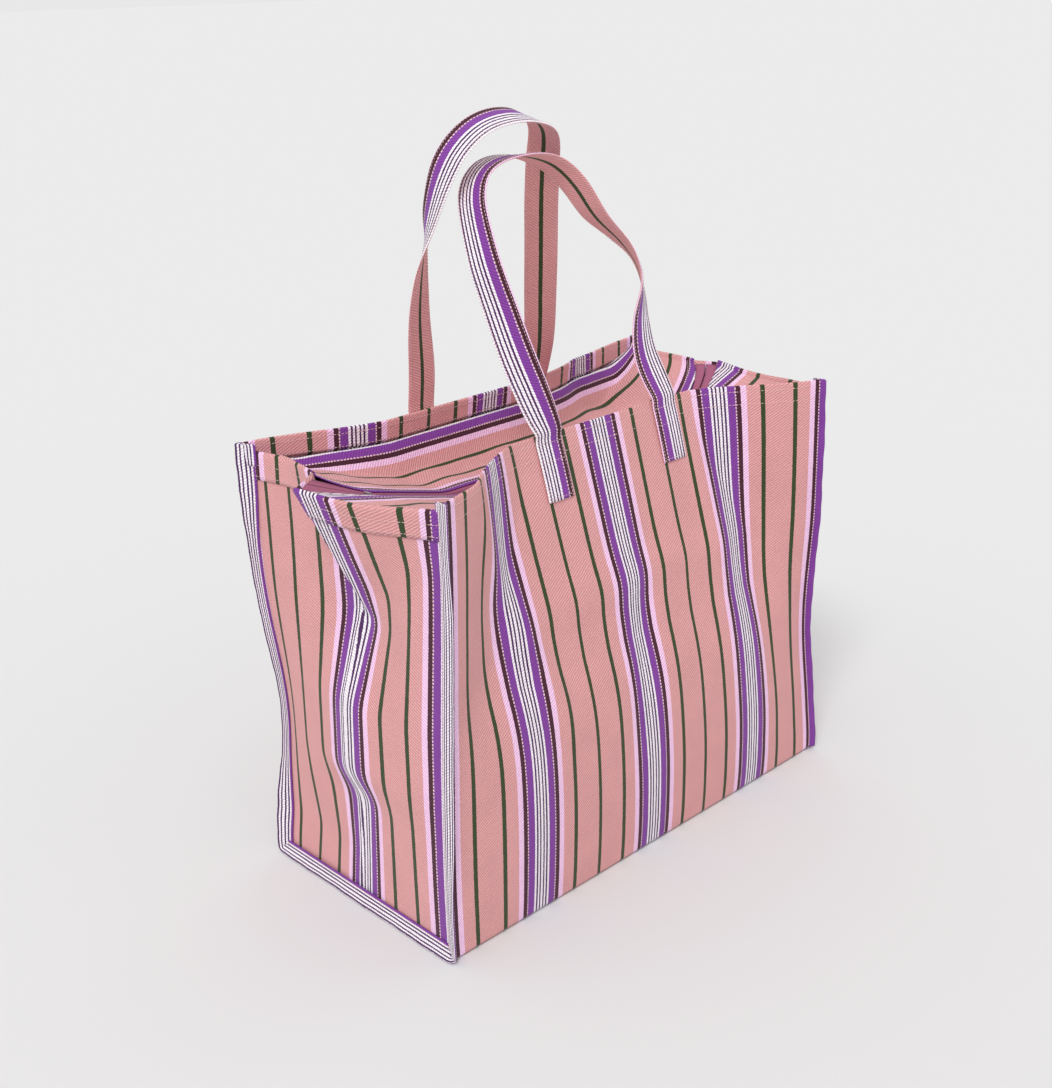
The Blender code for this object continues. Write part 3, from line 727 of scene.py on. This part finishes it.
tape_finish = ribbed_tape()
tape_rows = slice(WRAP_ROWS + 2, -WRAP_ROWS - 2)
zip_edges = {side: grid[tape_rows, -1] for side, grid in closure_grids.items()}
zip_middle = (zip_edges[-1] + zip_edges[1]) / 2
for side, side_name in ((-1, "front"), (1, "back")):
    away = zip_edges[side] - zip_middle
    away[:, 2] = 0
    away = unit(away)
    reach = np.array((0.0006, 0.0036, 0.0068, 0.0130))
    sunk = np.array((0.0008, 0.0009, 0.0011, 0.0016))
    grid = zip_middle[:, None] + away[:, None] * reach[None, :, None]
    grid[:, :, 2] -= sunk
    run = arc_length(grid[:, 0])
    cloth = np.stack(np.broadcast_arrays(reach[None, :] / STEP, run[:, None] / STEP), -1)
    if side < 0:
        grid, cloth = grid[:, ::-1], cloth[:, ::-1]
    piece = cloth_piece(side_name + "_zip_tape_cloth", grid, cloth, tape_finish, thickness=0.0005)
    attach(piece, "bag")
    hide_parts(side_name + "_zip_tape")


def coil_tube(side):
    """One coil: a fine wire wound into a flattened helix along the zip line, as a tube of rings."""
    turns, per_turn, around = 300, 8, 5
    angle = np.linspace(0, turns * 2 * math.pi, turns * per_turn + 1)
    x = np.linspace(-0.205, 0.205, len(angle))
    wide, high, wire = 0.0011, 0.0006, 0.00022
    y = side * (0.0014 + wide * np.cos(angle))
    middle = np.stack((x, y, zip_height(x) - 0.0010 + high * np.sin(angle)), -1)
    run = np.gradient(middle, axis=0)
    run = unit(run)
    first = np.cross(run, (0, 0, 1))
    first = unit(first)
    second = np.cross(run, first)
    spin = np.linspace(0, 2 * math.pi, around, endpoint=False)
    ring = np.cos(spin)[:, None] * first[:, None] + np.sin(spin)[:, None] * second[:, None]
    points = middle[:, None] + wire * ring
    number = np.arange(len(middle) * around).reshape(len(middle), around)
    after = np.roll(number, -1, axis=1)
    faces = np.stack((number[:-1], after[:-1], after[1:], number[1:]), -1).reshape(-1, 4).tolist()
    faces += [number[0].tolist()[::-1], number[-1].tolist()]
    mesh = bpy.data.meshes.new("coil")
    mesh.from_pydata(points.reshape(-1, 3), [], faces)
    mesh.shade_smooth()
    return mesh


coil_finish = plain_finish("nylon_coil", (0.34, 0.09, 0.17), 0.45)
for side, side_name in ((-1, "front"), (1, "back")):
    mesh = coil_tube(side)
    mesh.materials.append(coil_finish)
    piece = bpy.data.objects.new(side_name + "_coil_wire", mesh)
    scene.collection.objects.link(piece)
    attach(piece, "bag")
    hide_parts(side_name + "_zip_coil")

plated = plain_finish("nickel_plate", (0.62, 0.61, 0.58), 0.28, metallic=1.0)
for node in ("zip_slider", "zip_pull", "zip_left_stop", "zip_right_stop"):
    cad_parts[node].data.materials.clear()
    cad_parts[node].data.materials.append(plated)

# ---------------------------------------------------------------------------------------------
# Handles: each is one strip of canvas folded into a flat strap, so its two faces show different
# stripes. Its ends are sewn to the outside of the bag; the loop between them stands free.
# ---------------------------------------------------------------------------------------------
STRAP_WIDTH = 0.030
STRAP_HALF = 0.0009
STRAP_END_BOTTOM = 0.3460
# About the distance between two points of a strap's middle line.
STRAP_SPACING = 0.00268

# Middle line of each free loop from its left foot to its right foot, and the way its outer face
# looks.
FRONT_ROUTE = [
    ((-0.0590, -0.0620, 0.4015), (0, -1, 0)),
    ((-0.0710, -0.0540, 0.4390), (-0.5, -1, 0)),
    ((-0.0800, -0.0440, 0.4760), (-1, -1, 0)),
    ((-0.0850, -0.0320, 0.5130), (-1, -0.6, 0)),
    ((-0.0880, -0.0200, 0.5480), (-1, -0.4, 0)),
    ((-0.0850, -0.0065, 0.5800), (-1, -0.2, 0.1)),
    ((-0.0790, 0.0010, 0.5980), (-1, -0.1, 0.4)),
    ((-0.0700, 0.0030, 0.6120), (-1, 0, 0.9)),
    ((-0.0520, 0.0040, 0.6210), (-0.4, 0, 1)),
    ((-0.0270, 0.0030, 0.6230), (0, 0.1, 1)),
    ((-0.0070, -0.0010, 0.6190), (0.4, 0.2, 0.8)),
    ((0.0100, -0.0070, 0.6100), (0.7, 0.3, 0.7)),
    ((0.0270, -0.0130, 0.5920), (1, 0.3, 0.6)),
    ((0.0470, -0.0175, 0.5650), (1, 0.1, 0.5)),
    ((0.0740, -0.0210, 0.5400), (1, -0.2, 0.4)),
    ((0.0910, -0.0250, 0.5180), (1, -0.7, 0.2)),
    ((0.0920, -0.0310, 0.4970), (0.8, -1, 0)),
    ((0.0830, -0.0370, 0.4680), (0.2, -1, 0)),
    ((0.0790, -0.0460, 0.4400), (0, -1, 0)),
    ((0.0860, -0.0620, 0.4015), (0, -1, 0)),
]
BACK_ROUTE = [
    ((-0.0770, 0.0865, 0.4015), (0, 1, 0)),
    ((-0.0790, 0.0790, 0.4410), (0, 1, 0)),
    ((-0.0870, 0.0690, 0.4880), (-0.2, 1, 0)),
    ((-0.0910, 0.0600, 0.5170), (-0.4, 1, 0)),
    ((-0.0930, 0.0490, 0.5490), (-0.7, 0.8, 0)),
    ((-0.0970, 0.0350, 0.5800), (-1, 0.3, 0.1)),
    ((-0.0960, 0.0190, 0.6120), (-1, -0.1, 0.3)),
    ((-0.0860, 0.0100, 0.6350), (-0.9, -0.25, 0.6)),
    ((-0.0670, 0.0030, 0.6510), (-0.6, -0.3, 0.8)),
    ((-0.0410, 0.0000, 0.6560), (-0.2, -0.35, 0.9)),
    ((-0.0130, 0.0010, 0.6520), (0.15, -0.25, 0.9)),
    ((0.0120, 0.0090, 0.6390), (0.8, 0.1, 0.7)),
    ((0.0210, 0.0210, 0.6080), (1, 0.7, 0.1)),
    ((0.0280, 0.0310, 0.5750), (1, 0.9, 0)),
    ((0.0360, 0.0410, 0.5380), (1, 0.9, 0)),
    ((0.0460, 0.0540, 0.4940), (0.8, 1, 0)),
    ((0.0590, 0.0715, 0.4360), (0.4, 1, 0)),
    ((0.0680, 0.0865, 0.4015), (0, 1, 0)),
]


def curve_through(points, t):
    """Smooth curve through the points: the Catmull-Rom rule on each stretch, t from 0 to 1."""
    points = np.vstack([2 * points[0] - points[1], points, 2 * points[-1] - points[-2]])
    count = len(points) - 3
    place = np.clip(t, 0, 1) * count
    first = np.minimum(place.astype(int), count - 1)
    s = (place - first)[:, None]
    p0, p1, p2, p3 = (points[first + k] for k in range(4))
    bend = (2 * p0 - 5 * p1 + 4 * p2 - p3) * s**2 + (3 * p1 - p0 - 3 * p2 + p3) * s**3
    return p1 + 0.5 * ((p2 - p0) * s + bend)


def strap_lines(side, route):
    """Middle line, outer facing and width direction of a whole strap at even spacing: up the outside
    of the cloth from the left end's foot, round the loop, and down to the right end's foot."""
    points = np.array([point for point, _ in route])
    facing = np.array([face for _, face in route], float)
    facing = unit(facing)
    t = np.linspace(0, 1, 700)
    loop, loop_facing = curve_through(points, t), curve_through(facing, t)
    heights = np.linspace(STRAP_END_BOTTOM, 0.3985, 40)[:, None]
    parts, faces = [], []
    for x in (points[0, 0], points[-1, 0]):
        foot_x = np.full_like(heights, x)
        y = long_side_y(side, foot_x, heights) + side * (0.0005 + STRAP_HALF + 0.0004)
        below = long_side_y(side, foot_x, heights - 0.002)
        above = long_side_y(side, foot_x, heights + 0.002)
        slope = (above - below) / 0.004
        parts.append(np.hstack((foot_x, y, heights)))
        normal = np.hstack((0 * heights, side + 0 * heights, -side * slope))
        faces.append(unit(normal))
    middle = np.vstack((parts[0], loop, parts[1][::-1]))
    outer = np.vstack((faces[0], loop_facing, faces[1][::-1]))
    arc = arc_length(middle)
    even = np.linspace(0, arc[-1], 261)
    middle = np.stack([np.interp(even, arc, middle[:, k]) for k in range(3)], -1)
    outer = np.stack([np.interp(even, arc, outer[:, k]) for k in range(3)], -1)
    for _ in range(3):
        middle[1:-1] = 0.5 * middle[1:-1] + 0.25 * (middle[:-2] + middle[2:])
    run = np.gradient(middle, axis=0)
    near_end = np.minimum(even, arc[-1] - even)
    run[:, 0] *= ease((near_end - 0.053) / 0.035)
    run = unit(run)
    across = np.cross(outer, run)
    across = unit(across)
    outer = np.cross(run, across)
    return middle, outer, across, even


def strap_mesh(name, middle, outer, across, even, flip):
    """The strap's closed skin: a flat section with rounded edges carried along its line. Each face of
    the strap takes its own stripes from the canvas."""
    # Across the width, and the outer face's height there as a share of half the thickness.
    w = np.array((-0.5, -0.49, -0.46, -0.40, -0.2, 0.0, 0.2, 0.40, 0.46, 0.49, 0.5))
    lift = np.array((0.0, 0.55, 0.9, 0.85, 0.9, 1.0, 0.9, 0.85, 0.9, 0.55, 0.0))
    w_all = np.concatenate((w, w[-2:0:-1]))
    lift_all = np.concatenate((lift, -lift[-2:0:-1]))
    count = len(w_all)
    ripple = 0.0004 * np.sin(even * 70)[:, None, None]
    points = middle[:, None] + across[:, None] * (w_all * STRAP_WIDTH)[None, :, None]
    points = points + outer[:, None] * ((lift_all * STRAP_HALF)[None, :, None] + ripple)
    number = np.arange(len(middle) * count).reshape(len(middle), count)
    after = np.roll(number, -1, axis=1)
    quads = np.stack((number[:-1], number[1:], after[1:], after[:-1]), -1)
    on_outer = np.arange(count) < len(w) - 1
    sign = -1 if flip else 1
    across_outer = 0.225 - sign * w_all * STRAP_WIDTH / STEP
    across_inner = 1.325 - NARROW_SECTION + w_all * STRAP_WIDTH / STEP
    here = np.arange(count)
    following = (here + 1) % count
    corner_w = np.stack((here, here, following, following), -1)
    u = np.where(on_outer[:, None], across_outer[corner_w], across_inner[corner_w])
    u = np.broadcast_to(u[None], quads.shape)
    v = np.stack((even[:-1], even[1:], even[1:], even[:-1]), -1)[:, None, :] / STEP
    v = np.broadcast_to(v, quads.shape)
    mesh = bpy.data.meshes.new(name)
    faces = quads.reshape(-1, 4).tolist() + [number[0].tolist(), number[-1].tolist()[::-1]]
    mesh.from_pydata(points.reshape(-1, 3), [], faces)
    layer = mesh.uv_layers.new(name="cloth")
    uv = np.zeros((len(mesh.loops), 2))
    uv[: quads.size] = np.stack((u.ravel(), v.ravel()), -1)
    layer.data.foreach_set("uv", uv.ravel())
    mesh.shade_smooth()
    return mesh


# Painted light: the straps get a copy of the canvas painted 6% lighter, for the light that falls on them.
strap_canvas = canvas("striped_canvas_strap_painted_lighter", painted_lightness=1.06)
straps = {}
for side, side_name, route, flip in (
    (-1, "front", FRONT_ROUTE, False), (1, "back", BACK_ROUTE, True),
):
    middle, outer, across, even = strap_lines(side, route)
    straps[side] = (middle, outer, across)
    mesh = strap_mesh(side_name + "_strap", middle, outer, across, even, flip)
    mesh.materials.append(strap_canvas)
    strap = bpy.data.objects.new(side_name + "_strap", mesh)
    scene.collection.objects.link(strap)
    hinge_y = route[0][0][1]
    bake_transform(strap)
    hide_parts(side_name + "_handle", side_name + "_left_strap_end", side_name + "_right_strap_end")

# ---------------------------------------------------------------------------------------------
# Thread: pale pink cotton, lock-stitched along the hems, the seams, the zip's edges and the straps.
# ---------------------------------------------------------------------------------------------
thread_finish = plain_finish("pale_thread", (0.86, 0.60, 0.60), 0.7)


def stitch_rows(name, lines, pitch=0.0034, radius=0.00028):
    """Short stitches in rows, as one mesh. Each row is (points, normals): a stitch fills two thirds of
    each pitch along the points, as a five-sided bead with tapered ends that lies along the row."""
    rings = np.array((-1.0, -0.55, 0.55, 1.0))
    girth = np.array((0.25, 1.0, 1.0, 0.25))
    sides = 5
    spin = np.linspace(0, 2 * math.pi, sides, endpoint=False)
    vertices, faces, used = [], [], 0
    for points, normals in lines:
        arc = arc_length(points)
        centre = np.arange(pitch / 2, arc[-1], pitch)
        spot = np.stack([np.interp(centre, arc, points[:, k]) for k in range(3)], -1)
        normal = np.stack([np.interp(centre, arc, normals[:, k]) for k in range(3)], -1)
        ahead = np.stack([np.interp(centre + pitch / 3, arc, points[:, k]) for k in range(3)], -1)
        behind = np.stack([np.interp(centre - pitch / 3, arc, points[:, k]) for k in range(3)], -1)
        run = ahead - behind
        run /= np.maximum(np.linalg.norm(run, axis=1, keepdims=True), 1e-9)
        aside = np.cross(normal, run)
        aside /= np.maximum(np.linalg.norm(aside, axis=1, keepdims=True), 1e-9)
        upward = np.cross(run, aside)
        along = spot[:, None] + run[:, None] * (rings * pitch * 0.34)[None, :, None]
        around = aside[:, None] * np.cos(spin)[None, :, None]
        around = around + upward[:, None] * np.sin(spin)[None, :, None]
        beads = along[:, :, None] + around[:, None] * (girth * radius)[None, :, None, None]
        count = len(centre)
        number = used + np.arange(count * 4 * sides).reshape(count, 4, sides)
        after = np.roll(number, -1, axis=2)
        quads = np.stack((number[:, :-1], after[:, :-1], after[:, 1:], number[:, 1:]), -1)
        faces += quads.reshape(-1, 4).tolist()
        faces += number[:, 0, ::-1].tolist() + number[:, -1].tolist()
        vertices.append(beads.reshape(-1, 3))
        used += count * 4 * sides
    mesh = bpy.data.meshes.new(name)
    mesh.from_pydata(np.concatenate(vertices), [], faces)
    mesh.shade_smooth()
    mesh.materials.append(thread_finish)
    piece = bpy.data.objects.new(name, mesh)
    scene.collection.objects.link(piece)
    return piece


top_row = HEM_ROWS + TURN_ROWS
columns = slice(len(flap_s) + 1, -len(flap_s) - 1)


def body_row(height, side, lift):
    """A row of stitches across the outside (lift above 0) or the inside of one hem."""
    rows = body if side < 0 else body[::-1]
    block = rows[top_row:top_row + SIDE_ROWS]
    index = int(np.argmin(np.abs(block[:, len(body_s) // 2, 2] - height)))
    row = block[index, columns]
    normal = np.zeros_like(row)
    normal[:, 1] = side
    return row + normal * lift, normal


def hem_rows(side):
    """Two rows on the outside of a hem and the same two on its inside."""
    rows = []
    for height in (0.3960, 0.3830):
        outside = body_row(height, side, 0.0006)
        rows.append(outside)
        inner = outside[0].copy()
        inner[:, 1] -= side * (2 * TURN + 0.0012)
        rows.append((inner, -outside[1]))
    return rows


hem_thread = stitch_rows("hem_thread", hem_rows(-1) + hem_rows(1))
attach(hem_thread, "bag")


def flap_rows():
    """One row along the middle of each stitched strip on the gussets, upright and along the base."""
    rows = []
    for column, end in ((1, -1), (-2, 1)):
        line = body[top_row:-top_row, column]
        normal = np.zeros_like(line)
        normal[:, 0] = end
        rows.append((line + normal * 0.0006, normal))
    return rows


seam_thread = stitch_rows("seam_thread", flap_rows(), pitch=0.0030)
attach(seam_thread, "bag")


def closure_rows():
    """A row beside each folded edge at the zip, and two rows across each end outside the gusset."""
    rows = []
    for side in (-1, 1):
        grid = closure_grids[side]
        line = grid[tape_rows, -3]
        up = np.broadcast_to(np.array((0, 0, 1.0)), line.shape)
        rows.append((line + up * 0.0007, up))
        for end, index in ((-1, (1, 4)), (1, (-2, -5))):
            for i in index:
                row = grid[i]
                out = np.broadcast_to(np.array((float(end), 0, 0)), row.shape)
                rows.append((row + out * 0.0007, out))
    return rows


closure_thread = stitch_rows("closure_thread", closure_rows())
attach(closure_thread, "bag")


def strap_rows(side):
    """Rows along both edges of a strap, on both faces, and cross rows over its sewn ends."""
    middle, outer, across = straps[side]
    rows = []
    for edge in (-0.43, 0.43):
        line = middle + across * edge * STRAP_WIDTH
        rows.append((line + outer * (STRAP_HALF + 0.0001), outer))
        rows.append((line - outer * (STRAP_HALF + 0.0001), -outer))
    span = np.linspace(-0.42, 0.42, 9)[:, None] * STRAP_WIDTH
    for distance in (0.0025, 0.036, 0.050):
        index = int(round(distance / STRAP_SPACING))
        for i in (index, len(middle) - 1 - index):
            line = middle[i] + across[i] * span + outer[i] * (STRAP_HALF + 0.0002)
            rows.append((line, np.broadcast_to(outer[i], line.shape)))
    return rows


for side, side_name, hinge_y in ((-1, "front", -0.0620), (1, "back", 0.0865)):
    thread = stitch_rows(side_name + "_strap_thread", strap_rows(side), pitch=0.0030)
    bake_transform(thread)
